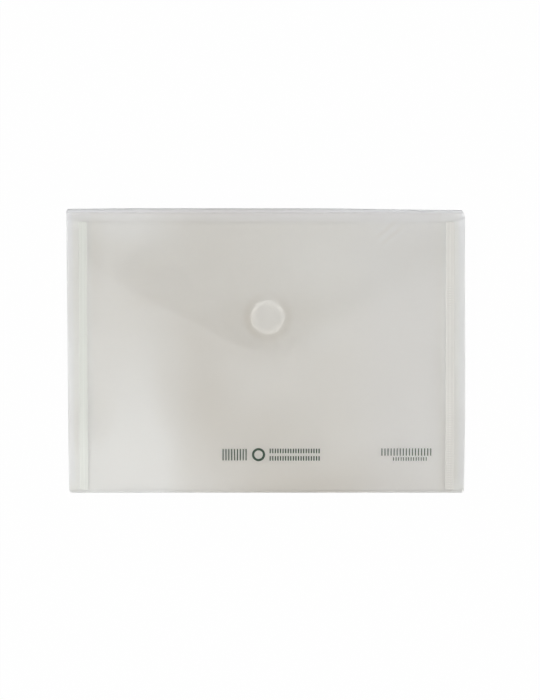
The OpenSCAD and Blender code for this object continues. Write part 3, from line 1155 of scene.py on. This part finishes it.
@dataclass
class FlapFilm:
    """The top fold and the flap, one sheet, which bends between the front and the flap. The
    hill named for the tip is centred from the closure dot, and those named for the fold from
    its top edge."""

    lay: Layout
    root_inset: float = 3.0 * MM
    shoulder_inset: float = 6.0 * MM
    side_len: float = 40.0 * MM
    tip_r: float = 72.0 * MM
    shoulder_r: float = 8.0 * MM
    steepest: float = 60.0
    halvings: int = 40
    belly: Swell = Swell(-0.100, 0.022, 1.8 * MM)
    flats: tuple[Ramp, Ramp] = (Ramp(0.030, 0.140, 1.6 * MM), Ramp(-0.115, -0.050, 0.5 * MM))
    lift_run: float = 20.0 * MM
    lifts: tuple[Hill, Hill] = (
        Hill((-0.085, 0.075), (0.040, 0.030), 0.45 * MM),
        Hill((0.090, 0.070), (0.045, 0.030), 0.45 * MM),
    )
    even: float = 0.10
    # Painted shade: a denser lobe by the closure dot, over the V's left part.
    tip_shade: Hill = Hill((-0.038, 0.010), (0.075, 0.045), 0.50)
    # A denser tint along the top fold.
    fold_darkening: Hill = Hill((-0.028, 0.0), (0.082, 0.020), 0.90)
    fold_white: Hill = Hill((0.165, 0.0), (0.035, 0.020), 0.7)
    fold_rim: Ramp = Ramp(-1.2 * MM, MM)
    fold_line: Swell = Swell(0.0, 0.5 * MM)
    fold_crease: float = 0.44
    # Painted reflection: a cooler grey round the fold.
    fold_cool: float = 0.52
    right_white: Ramp = Ramp(-0.090, 0.120, 0.7)
    below_mouth: Ramp = Ramp(MM, -1.5 * MM)
    crowding: float = 0.4
    cols: int = 161
    rows: int = 70
    fold_rows: int = 17

    def edge_slope(self, shoulder_x: float, drop: float) -> float:
        """The slope of the V's straight edges, in radians, found by halving: the one at which a
        line tangent to the round tip reaches the shoulder.

        Args:
            shoulder_x: The shoulder's place along X.
            drop: How far the tip is below the shoulder.

        Returns:
            The slope.
        """
        low, high = 0.0, math.radians(self.steepest)
        for _ in range(self.halvings):
            slope = (low + high) / 2
            got = shoulder_x * math.tan(slope) - self.tip_r * (1 / math.cos(slope) - 1)
            low, high = (slope, high) if got < drop else (low, slope)
        return slope

    def lower_edge(self, x: Grid) -> Grid:
        """The V's edge: a round tip on the middle line, tangent to two straight edges that rise to
        the shoulders, where a smaller circle turns into the flap's sides. The left edge bellies
        out.

        Args:
            x: Places along X, from the middle to the shoulder on either side.

        Returns:
            The edge's place along Y.
        """
        lay = self.lay
        shoulder_y = lay.top_y - self.side_len
        shoulder_x = float(lay.side_x(np.array(shoulder_y))) - self.shoulder_inset
        slope = self.edge_slope(shoulder_x, shoulder_y - lay.tip_y)
        a = np.abs(x)
        tip = lay.tip_y + self.tip_r - np.sqrt(np.maximum(self.tip_r**2 - a**2, 0.0))
        straight = shoulder_y - (shoulder_x - a) * math.tan(slope)
        edge = np.where(a < self.tip_r * math.sin(slope), tip, straight)
        turn = (math.pi / 2 - slope) / 2
        centre_x = shoulder_x - self.shoulder_r
        centre_y = shoulder_y + self.shoulder_r * math.tan(turn)
        inside = a > centre_x + self.shoulder_r * math.sin(slope)
        rounded = centre_y - np.sqrt(np.maximum(self.shoulder_r**2 - (a - centre_x) ** 2, 0.0))
        return np.where(inside, rounded, edge) - self.belly.over(x)

    def flattened(self, x: Grid) -> Grid:
        """The share of the top fold's reach that its two pressed ends lose."""
        return total(self.flats, x) / (self.lay.top_y - self.lay.fold_y)

    def tones(self, x: Grid, y: Grid) -> dict[str, Grid]:
        """How the sheet looks: painted shade by the tip, a denser tint along the fold, whitened
        below the mouth more towards the right and at the fold's right end, and creased and cooler
        round the fold, the cooler grey a painted reflection.

        Args:
            x: Places along X, row by row from the front panel round the fold.
            y: Places along Y.

        Returns:
            The haze with its painted shade, the whitening, the coolness and the crease.
        """
        lay = self.lay
        rolled = ease((y - lay.fold_y) / MM)
        rolled[: self.fold_rows // 2] = 1.0
        below_top = y - lay.top_y
        haze = self.even + self.tip_shade.over(x - lay.dot[0], y - lay.dot[1])
        haze = haze + rolled * self.fold_darkening.over(x, below_top)
        below_mouth_white = self.right_white.over(x) * self.below_mouth.over(y - lay.mouth_y)
        fold_white = rolled * (1.0 - self.fold_white.height + self.fold_white.over(x, below_top))
        rim = np.clip(self.fold_rim.over(below_top) + self.fold_line.over(y - lay.fold_y), 0.0, 1.0)
        return {
            "haze": haze,
            "white": np.maximum(below_mouth_white, fold_white),
            "cool": self.fold_cool * rolled,
            "crease": rolled * lerp(self.fold_crease, 1.0, rim),
        }

    def surface(self) -> tuple[Grid, dict[str, Grid]]:
        """The middle surface: rows from the front panel round the top fold's half circle and down
        the flap to the V's edge, columns from side to side, closer together by the sides.

        Returns:
            The surface as rows by columns by 3, and the haze, whitening, coolness and crease there,
            which also hold painted shade and reflection.
        """
        lay = self.lay
        half_film = lay.film_t / 2
        radius = lay.front_level / 2
        bend = arc((lay.fold_y, radius + half_film), radius, 90.0, -90.0, self.fold_rows)
        shoulder_y = lay.top_y - self.side_len
        root_x = float(lay.side_x(np.array(lay.fold_y))) - self.root_inset
        shoulder_x = float(lay.side_x(np.array(shoulder_y))) - self.shoulder_inset
        even_u = np.linspace(-1.0, 1.0, self.cols)
        u = lerp(even_u, np.sin(even_u * math.pi / 2), self.crowding)[None, :]
        share = ease(np.linspace(0.0, 1.0, self.fold_rows)[:, None])
        left = lerp(lay.side_x(bend[:, :1]), root_x, share)
        right = lerp(lay.right_x(bend[:, :1]), root_x, share)
        fold_x = by_side(u, u * left, u * right)
        fold_y = lay.fold_y + (bend[:, :1] - lay.fold_y) * (1.0 - self.flattened(fold_x))
        fold_z = np.broadcast_to(bend[:, 1:], fold_x.shape)
        v = np.linspace(0.0, 1.0, self.rows + 1)[1:, None]
        flap_y = lerp(lay.fold_y, self.lower_edge(u * shoulder_x), v)
        down = np.clip((lay.fold_y - flap_y) / (lay.fold_y - shoulder_y), 0.0, 1.0)
        flap_x = u * lerp(root_x, shoulder_x, down)
        lift = sum(hill.over(flap_x, flap_y) for hill in self.lifts)
        flap_z = half_film + lift * ease((lay.fold_y - flap_y) / self.lift_run)
        x = np.concatenate([fold_x, flap_x])
        y = np.concatenate([fold_y, flap_y])
        z = np.concatenate([fold_z, flap_z])
        return np.stack([x, y, z], axis=-1), self.tones(x, y)

    def build(self, film: Material) -> Piece:
        """Makes the piece and dresses it.

        Args:
            film: The film's material.

        Returns:
            The piece.
        """
        lay = self.lay
        mid, marks = self.surface()
        turned = {name: values[:, ::-1] for name, values in marks.items()}
        obj = shell("flap_film", mid[:, ::-1], lay.film_t, turned)
        dress(obj, film)
        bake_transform(obj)
        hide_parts("top_fold", "flap_panel")
        return obj


@dataclass
class BackFilm:
    """The back panel with both gussets and their tabs, one sheet, which bends between the
    pocket and the front."""

    lay: Layout
    pleat_depth: float = 16.0 * MM
    crease_r: float = 0.45 * MM
    tab_gap: float = 0.03 * MM
    corner_len: float = 20.0 * MM
    even: float = 0.355
    white_w: float = 12.0 * MM
    wave_h: float = 0.12 * MM
    waves: tuple[Wave, Wave] = (
        Wave((0.120, 0.200), 0.0, 0.06 * MM),
        Wave((0.070, -0.100), 1.0, 0.06 * MM),
    )
    calm: float = 20.0 * MM
    calm_foot: float = 30.0 * MM
    seat: Ramp = Ramp(2.0, -0.5)
    rows: int = 90
    panel_cols: int = 110
    tab_pts: int = 9
    bend_pts: int = 7
    leaf_pts: int = 8

    def crease(self, x: float, z: float, stop: float) -> Grid:
        """Half a turn round a crease's middle, from 90 degrees to where it stops."""
        return arc((x, z), self.crease_r, 90.0, stop, self.bend_pts)

    def section(self, y: float) -> tuple[Grid, Grid, Grid]:
        """The sheet cut across at one place: tab, side fold, front leaf, pleat, back leaf, side
        fold and half the back panel, on the right side, as straight runs between small arcs.

        Args:
            y: The place along Y.

        Returns:
            The points as rows of X and Z, how far each stands above the mouth at the sheet's upper
            end, from 0 to 1, and how whitened the film is there.
        """
        lay = self.lay
        half_film = lay.film_t / 2
        inset = self.crease_r + half_film
        side = float(lay.side_x(np.array(y)))
        tab_z = float(lay.front_base(np.array(y))) - half_film - self.tab_gap
        back_z = float(lay.back_base(np.array(y))) + half_film
        tab_x = np.linspace(side - lay.tab_w, side - inset, self.tab_pts)[:-1]
        tab = np.stack([tab_x, np.full(len(tab_x), tab_z)], axis=-1)
        upper_fold = self.crease(side - inset, tab_z - self.crease_r, -90.0)
        pleat_fold = self.crease(side - self.pleat_depth + inset, (tab_z + back_z) / 2, 270.0)
        lower_fold = self.crease(side - inset, back_z + self.crease_r, -90.0)
        runs = np.linspace(0.0, 1.0, self.leaf_pts)[1:-1]
        front_leaf = lerp(upper_fold[-1], pleat_fold[0], runs[:, None])
        back_leaf = lerp(pleat_fold[-1], lower_fold[0], runs[:, None])
        panel_x = np.linspace(side - inset, 0.0, self.panel_cols // 2 + 1)[1:]
        panel = np.stack([panel_x, np.full(len(panel_x), back_z)], axis=-1)
        gusset = [upper_fold, front_leaf, pleat_fold, back_leaf, lower_fold]
        points = np.concatenate([tab, *gusset, panel])
        risen = [np.linspace(0.0, 1.0, len(tab)), np.ones(self.bend_pts), 1.0 - runs]
        rise = np.concatenate(risen + [np.zeros(len(points) - sum(map(len, risen)))])
        panel_white = ease((panel_x - side + self.white_w) / self.white_w)
        white = np.concatenate([np.ones(len(points) - len(panel)), panel_white])
        return points, rise, white

    def surface(self) -> tuple[Grid, dict[str, Grid]]:
        """The middle surface: one section for each row from the bottom fold to the mouth, mirrored
        about the middle. The tab's outer corner stands above the mouth, and the panel waves a
        little away from the dot, the foot and the gussets.

        Returns:
            The surface as rows by columns by 3, and the haze, whitening, coolness and seat there.
        """
        lay = self.lay
        at = np.linspace(lay.foot_y, lay.mouth_y, self.rows)
        cuts = [self.section(float(y)) for y in at]
        half = np.stack([c[0] for c in cuts])
        corner = ease((at - lay.mouth_y + self.corner_len) / self.corner_len)
        raised = corner[:, None] * (lay.tab_top_y - lay.mouth_y)
        half_y = at[:, None] + raised * cuts[0][1][None, :]
        right = np.stack([half[..., 0], half_y, half[..., 1]], axis=-1)
        left = right[:, :-1] * np.array([-1.0, 1.0, 1.0])
        mid = np.concatenate([right, left[:, ::-1]], axis=1)
        white_half = np.stack([c[2] for c in cuts])
        white = np.concatenate([white_half, white_half[:, :-1][:, ::-1]], axis=1)
        x, y = mid[..., 0].copy(), mid[..., 1]
        away = np.hypot(x - lay.dot[0], y - lay.dot[1])
        free = ease((away - lay.dot_r) / self.calm) * ease((y - lay.foot_y) / self.calm_foot)
        free = free * ease((lay.weld_x - np.abs(x)) / self.calm)
        lift = free * (self.wave_h + sum(wave.over(x, y) for wave in self.waves))
        mid[..., 0] += lay.lean(x, y)
        mid[..., 2] += np.where(white > 0.0, 0.0, lift)
        marks = {
            "haze": np.full_like(white, self.even),
            "white": white,
            "cool": np.zeros_like(white),
            "seat": self.seat.over(away / lay.dot_r),
        }
        return mid, marks

    def build(self, film: Material) -> Piece:
        """Makes the piece and dresses it.

        Args:
            film: The film's material.

        Returns:
            The piece.
        """
        lay = self.lay
        mid, marks = self.surface()
        turned = {name: values[:, ::-1] for name, values in marks.items()}
        obj = shell("back_film", mid[:, ::-1], lay.film_t, turned)
        dress(obj, film)
        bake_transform(obj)
        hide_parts("back_panel", "left_back_leaf", "right_back_leaf", "left_front_leaf",
                    "right_front_leaf", "left_weld_tab", "right_weld_tab")
        return obj


@dataclass
class WeldSeam:
    """One knurled weld: a pressed land with three columns of studs between two beads. It drifts to
    the right by one length at its upper end and another at its lower one. Low down, painted light
    changes its crests: a painted gleam makes them paler where its share is above 0, and painted
    shade makes them darker where it is below."""

    lay: Layout
    side: Side
    press: Press
    drift: Pair
    low_painted_light: float
    glow: Ramp = Ramp(-0.050, -0.030)
    glow_land: float = 0.6
    faint: float = 0.12
    crisp_low: Ramp = Ramp(-0.030, -0.020)
    crisp_run: tuple[Ramp, Ramp] = (Ramp(0.034, 0.004), Ramp(0.056, -0.004))
    stud_w: tuple[float, ...] = (0.95 * MM, 2.0 * MM, 0.95 * MM)
    stud_share: float = 0.8
    stud_faint: float = 0.45
    stud_wave: Pair = (0.5, 0.6)
    bead_w: float = 0.7 * MM
    land_t: float = 0.10 * MM
    stud_h: float = 0.15 * MM
    sunk: float = 0.05 * MM
    flank: float = 0.3 * MM
    pitch: float = 2.0 * MM
    cols: int = 41
    rows: int = 1100

    def pressed(self, y: Grid) -> Grid:
        """How hard the wheel pressed, from 0 to 1: eased steps along the seam, or one low value.

        Args:
            y: Places along Y.

        Returns:
            The pressure.
        """
        if self.press is Press.FAINT:
            return np.full(y.shape, self.faint)
        start, stop = self.crisp_run
        return self.crisp_low.over(y) + start.over(y) * stop.over(y)

    def column(self, across: Grid, start: float, wide: float) -> Grid:
        """A flat-topped bump across the seam, with eased flanks."""
        return ease((across - start) / self.flank) * ease((start + wide - across) / self.flank)

    def relief(self, across: Grid, y: Grid) -> Grid:
        """How high the knurl stands, from 0 to 1: columns of studs, each a flat top across the
        seam times a raised cosine along it, scaled by how hard the wheel pressed, between two even
        beads.

        Args:
            across: Distance from the seam's outer edge.
            y: Places along Y.

        Returns:
            The relief.
        """
        inner, outer = self.lay.seam_x
        width = outer - inner
        gap = (width - 2 * self.bead_w - sum(self.stud_w)) / (len(self.stud_w) + 1)
        starts = self.bead_w + gap + np.cumsum([0.0, *(w + gap for w in self.stud_w[:-1])])
        studs = sum(self.column(across, start, w) for start, w in zip(starts, self.stud_w))
        beads = sum(self.column(across, start, self.bead_w) for start in (0.0, width - self.bead_w))
        level, swing = self.stud_wave
        teeth = ease(level + swing * np.cos(2 * math.pi * (y - self.lay.foot_y) / self.pitch))
        return beads + self.stud_share * studs * lerp(self.stud_faint, teeth, self.pressed(y))

    def build(self, weld: Material) -> Piece:
        """Makes the piece: a height field over the front film, closed below by a copy of its
        outline sunk a little into the film.

        Args:
            weld: The weld's material.

        Returns:
            The piece, dressed and riding on the front.
        """
        lay = self.lay
        inner, outer = lay.seam_x
        y = np.linspace(lay.foot_y + MM, lay.mouth_y, self.rows)[:, None]
        across = np.linspace(0.0, outer - inner, self.cols)[None, :]
        down = np.clip((lay.fold_y - y) / (lay.fold_y - lay.bottom_y), 0.0, 1.0)
        straight = self.side.value * (outer - across)
        x, y = np.broadcast_arrays(straight + lerp(*self.drift, down), y)
        relief = self.relief(across, y)
        base = lay.front_top(x, y)
        top = base + self.column(across, 0.0, outer - inner) * self.land_t + self.stud_h * relief
        levels = [np.stack([x, y, z], axis=-1).reshape(-1, 3) for z in (top, base - self.sunk)]
        faces = closed_faces(*x.shape)
        if self.side is Side.RIGHT:
            faces = faces[:, ::-1]
        name = self.side.name.lower()
        obj = make_mesh(f"{name}_knurled_weld", np.concatenate(levels), faces)
        # Painted light low down on the crests: a gleam for a share above 0, shade for one below.
        glow = self.low_painted_light * self.glow.over(y)
        crest = relief * (1.0 + glow) + self.glow_land * np.maximum(glow, 0.0)
        put_attribute(obj, "crest", np.tile(crest.ravel(), 2))
        dress(obj, weld)
        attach(obj, Body.FRONT.value)
        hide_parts(f"{name}_weld_seam")
        return obj


@dataclass
class ClosureDot:
    """The hook-and-loop dot: the CAD's backings and hooks, and a pile of small loops."""

    lay: Layout
    rim_w: float = 4.0 * MM
    rim_rise: Pair = (1.5 * MM, 1.0 * MM)
    loop_count: int = 420
    loop_r: float = 0.28 * MM
    loop_flat: float = 0.5
    loop_turns: float = 1.7
    thread_r: float = 0.035 * MM
    along_pts: int = 7
    round_pts: int = 5

    def loops(self) -> Piece:
        """The loop pile: arches of thread, each a small ring carried along a flattened half
        circle, at places on a sunflower spiral, and each turned further than the one before it by
        the golden angle times loop_turns.

        Returns:
            The piece.
        """
        lay = self.lay
        low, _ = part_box("loop_pile")
        field_r = lay.dot_r - self.rim_w - self.loop_r
        k = np.arange(self.loop_count)[:, None, None]
        golden = math.pi * (3.0 - math.sqrt(5.0))
        r = field_r * np.sqrt((k + 0.5) / self.loop_count)
        turn = k * golden * self.loop_turns
        along = np.linspace(0.0, math.pi, self.along_pts)
        ring = np.linspace(0.0, 2 * math.pi, self.round_pts + 1)[:-1]
        a, b = np.meshgrid(along, ring, indexing="ij")
        reach = self.loop_r + self.thread_r * np.cos(b)
        px, py = reach * np.cos(a), self.thread_r * np.sin(b)
        x = lay.dot[0] + r * np.cos(k * golden) + px * np.cos(turn) - py * np.sin(turn)
        y = lay.dot[1] + r * np.sin(k * golden) + px * np.sin(turn) + py * np.cos(turn)
        z = np.broadcast_to(low.z - reach * np.sin(a) * self.loop_flat, x.shape)
        at = np.arange(a.size).reshape(a.shape)
        nxt = np.roll(at, -1, axis=1)
        one = np.stack([at[:-1], at[1:], nxt[1:], nxt[:-1]], axis=-1).reshape(-1, 4)
        verts = np.stack([x, y, z], axis=-1).reshape(-1, 3)
        return make_mesh("pile_loops", verts, repeated(one, self.loop_count, a.size))

    def build(self) -> list[Piece]:
        """Makes the loops and dresses the CAD's own pieces.

        Returns:
            The new pieces.
        """
        lay = self.lay
        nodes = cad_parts
        field_r = lay.dot_r - self.rim_w
        rim = (field_r - self.rim_rise[0], field_r + self.rim_rise[1])
        for half in ("loop", "hook"):
            dress(nodes[f"{half}_disc"], DotFinish(f"{half}_backing", lay.dot, *rim).build())
        pile = NylonFinish("brushed_loops", tint=(0.80, 0.79, 0.75), shade=(0.60, 0.59, 0.55),
                           roughness=(0.65, 0.85), fuzz=0.5).build()
        hooks = NylonFinish("moulded_hooks", tint=(0.84, 0.83, 0.80), shade=(0.72, 0.71, 0.67),
                            roughness=(0.30, 0.50), fuzz=0.0).build()
        loops = self.loops()
        for obj, nylon in ((nodes["loop_pile"], pile), (nodes["hook_field"], hooks), (loops, pile)):
            dress(obj, nylon)
        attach(loops, Body.POCKET.value)
        return [loops]


@dataclass(frozen=True)
class BarRow:
    """A row of upright printed bars: its name, its middle, how many bars there are and how far
    apart, and one bar's width and height."""

    name: str
    at: Pair
    count: int
    pitch: float
    size: Pair


@dataclass
class PrintMarks:
    """Plain printed ornament by the bottom, where such an envelope carries its print: a hatch,
    a ring and rows of dashes."""

    lay: Layout
    ink_t: float = 0.03 * MM
    clear: float = 0.01 * MM
    bar_pts: int = 5
    hatch: BarRow = BarRow(
        "print_hatch", (-26.0 * MM, -87.0 * MM), 9, 2.4 * MM, (1.0 * MM, 9.6 * MM))
    ring_at: Pair = (-6.0 * MM, -87.0 * MM)
    ring_r: Pair = (3.6 * MM, 5.5 * MM)
    ring_pts: tuple[int, int] = (65, 3)
    dashes: tuple[BarRow, ...] = (
        BarRow("print_upper_dashes", (24.2 * MM, -83.9 * MM), 20, 2.15 * MM, (1.05 * MM, 3.8 * MM)),
        BarRow("print_lower_dashes", (24.2 * MM, -90.1 * MM), 20, 2.15 * MM, (1.05 * MM, 3.8 * MM)),
        BarRow("print_side_dashes", (117.5 * MM, -84.8 * MM), 17, 2.55 * MM, (0.8 * MM, 6.0 * MM)),
        BarRow("print_side_ticks", (120.5 * MM, -90.6 * MM), 14, 2.1 * MM, (0.7 * MM, 3.0 * MM)),
    )

    def bars(self, row: BarRow) -> Piece:
        """A row of bars on the film: each is a closed box, of two places across and a few along,
        at evenly spaced middles.

        Args:
            row: The row's sizes.

        Returns:
            The piece.
        """
        u, v = np.meshgrid(np.array([-0.5, 0.5]), np.linspace(-0.5, 0.5, self.bar_pts))
        shift = (np.arange(row.count) - (row.count - 1) / 2)[:, None, None] * row.pitch
        x = row.at[0] + shift + u[None] * row.size[0]
        y = np.broadcast_to(row.at[1] + v[None] * row.size[1], x.shape)
        low = self.lay.front_top(x, y) + self.clear
        levels = [np.stack([x, y, z], axis=-1) for z in (low + self.ink_t, low)]
        verts = np.concatenate([level.reshape(row.count, -1, 3) for level in levels], axis=1)
        faces = repeated(closed_faces(self.bar_pts, 2), row.count, verts.shape[1])
        return make_mesh(row.name, verts.reshape(-1, 3), faces, smooth=False)

    def ring(self) -> Piece:
        """A printed ring: a grid over angle and radius, closed into a thin sheet.

        Returns:
            The piece.
        """
        turn = np.linspace(0.0, 2 * math.pi, self.ring_pts[0])[None, :]
        r = np.linspace(self.ring_r[1], self.ring_r[0], self.ring_pts[1])[:, None]
        x = self.ring_at[0] + r * np.cos(turn)
        y = self.ring_at[1] + r * np.sin(turn)
        z = self.lay.front_top(x, y) + self.ink_t / 2 + self.clear
        return shell("print_ring", np.stack([x, y, z], axis=-1), self.ink_t, {})

    def build(self, ink: Material) -> list[Piece]:
        """Makes the marks and dresses them.

        Args:
            ink: The ink's material.

        Returns:
            The new pieces.
        """
        made = [self.bars(self.hatch), self.ring(), *(self.bars(row) for row in self.dashes)]
        for obj in made:
            dress(obj, ink)
            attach(obj, Body.FRONT.value)
        return made


# ---- Studio ----


@dataclass(frozen=True)
class Lamp:
    """A square soft lamp: its name, its place, its side's length and its power."""

    name: str
    at: Triple
    size: float
    power: float

    def build(self) -> None:
        """Adds the lamp, turned to face the envelope."""
        data = bpy.data.lights.new(self.name, "AREA")
        data.shape = "SQUARE"
        data.size = self.size
        data.energy = self.power
        obj = bpy.data.objects.new(self.name, data)
        obj.location = self.at
        x, y, z = np.array(self.at) / np.linalg.norm(self.at)
        obj.rotation_euler = (math.acos(z), 0.0, math.atan2(y, x) + math.pi / 2)
        bpy.context.scene.collection.objects.link(obj)


@dataclass
class Studio:
    """White floor, soft lamps and the camera straight above the envelope."""

    picture: tuple[int, int] = (540, 700)
    metres_per_pixel: float = 332.6 * MM / 398.5
    look_at: Pair = (3.6 * MM, 0.45 * MM)
    camera_height: float = 1.7
    film_height: float = 7.5 * MM
    sight: float = 50.0
    floor_half: float = 3.0
    floor_drop: float = 0.1 * MM
    floor_pts: int = 5
    floor_greys: tuple[Rgb, Rgb] = ((0.57, 0.57, 0.57), (0.60, 0.60, 0.60))
    floor_roughness: float = 0.85
    floor_grain: float = 60.0
    floor_shown: float = 0.985
    floor_through: float = 0.20
    ambient: float = 0.78
    bounces: int = 24
    lamps: tuple[Lamp, ...] = (
        Lamp("key", (-0.75, -0.55, 1.5), 1.1, 11.5),
        Lamp("fill", (0.9, 0.7, 1.6), 1.2, 6.0),
    )

    def camera(self) -> None:
        """A long lens over the envelope, framed so that a pixel covers its size on the top
        film."""
        data = bpy.data.cameras.new("camera")
        height = self.picture[1] * self.metres_per_pixel
        data.lens = data.sensor_width * self.camera_height / height
        data.clip_end = self.sight
        cam = bpy.data.objects.new("camera", data)
        cam.location = (*self.look_at, self.camera_height + self.film_height)
        bpy.context.scene.collection.objects.link(cam)
        bpy.context.scene.camera = cam

    def floor_finish(self) -> Material:
        """White that shows as a white ground: part of what the camera, a reflection or film sees
        of it is plain white, and the rest is the lit surface with the object's shadow.

        Returns:
            The material.
        """
        t = NodeTree(bpy.data.materials.new("white_floor"))
        paper = t.mix(t.noise(self.floor_grain, detail=3.0), *self.floor_greys)
        lit = t.principled({"Base Color": paper, "Roughness": self.floor_roughness})
        path = t.add("ShaderNodeLightPath").outputs
        filmed = path["Is Transmission Ray"]
        direct = t.math("MAXIMUM", path["Is Camera Ray"], path["Is Glossy Ray"])
        bare = t.times(t.times(direct, self.floor_shown), t.math("SUBTRACT", 1.0, filmed))
        share = t.math("ADD", bare, t.times(filmed, self.floor_through))
        return t.end(t.mix_shaders(share, lit, t.add("ShaderNodeEmission")))

    def floor(self) -> None:
        """The floor: a flat grid just clear of the envelope's underside."""
        u = np.linspace(-self.floor_half, self.floor_half, self.floor_pts)
        x, y = np.meshgrid(u, u)
        verts = np.stack([x, y, np.full_like(x, -self.floor_drop)], axis=-1).reshape(-1, 3)
        obj = make_mesh("floor", verts, grid_faces(self.floor_pts, self.floor_pts), smooth=False)
        dress(obj, self.floor_finish())

    def world(self) -> None:
        """Even light from all round, and plain white where it is seen directly."""
        t = NodeTree(bpy.data.worlds.new("studio"), "ShaderNodeOutputWorld")
        light = t.make("ShaderNodeBackground", {"Strength": self.ambient})
        seen = t.make("ShaderNodeBackground", {"Color": (*WHITE, 1.0)})
        direct = t.add("ShaderNodeLightPath").outputs["Is Camera Ray"]
        bpy.context.scene.world = t.end(t.mix_shaders(direct, light, seen))

    def build(self) -> None:
        """Sets up the camera, the floor, the lamps and the picture's settings."""
        scene = bpy.context.scene
        scene.view_settings.view_transform = "Standard"
        scene.cycles.max_bounces = self.bounces
        scene.cycles.transmission_bounces = self.bounces
        scene.cycles.transparent_max_bounces = self.bounces
        self.camera()
        self.floor()
        self.world()
        for lamp in self.lamps:
            lamp.build()


def main() -> None:
    """Builds the envelope round its frame."""
    logging.basicConfig(level=logging.INFO, format="%(name)s: %(message)s")
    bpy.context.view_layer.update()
    Studio().build()
    lay = Layout()
    film = FilmFinish().build()
    seated = SeatedFilmFinish(centre=lay.dot, radius=lay.dot_r).build()
    warm = WeldFinish("warm_weld", valley=(0.825, 0.815, 0.788), crest=(0.980, 0.970, 0.942))
    cool = WeldFinish("cool_weld", valley=(0.812, 0.822, 0.788), crest=(0.962, 0.974, 0.940))
    # The right weld gets painted shade low down, the left one a painted gleam.
    right = WeldSeam(lay, Side.RIGHT, Press.CRISP_BELOW, (0.80 * MM, 0.25 * MM), low_painted_light=-0.12)
    left = WeldSeam(lay, Side.LEFT, Press.FAINT, (0.5 * MM, 1.5 * MM), low_painted_light=0.1)
    pieces = [
        FrontFilm(lay).build(film),
        FlapFilm(lay).build(film),
        BackFilm(lay).build(seated),
        right.build(warm.build()),
        left.build(cool.build()),
        *ClosureDot(lay).build(),
        *PrintMarks(lay).build(InkFinish().build()),
    ]
    for piece in pieces:
        LOG.info("%s: %d faces", piece.name, len(piece.data.polygons))


if __name__ == "__main__":
    main()
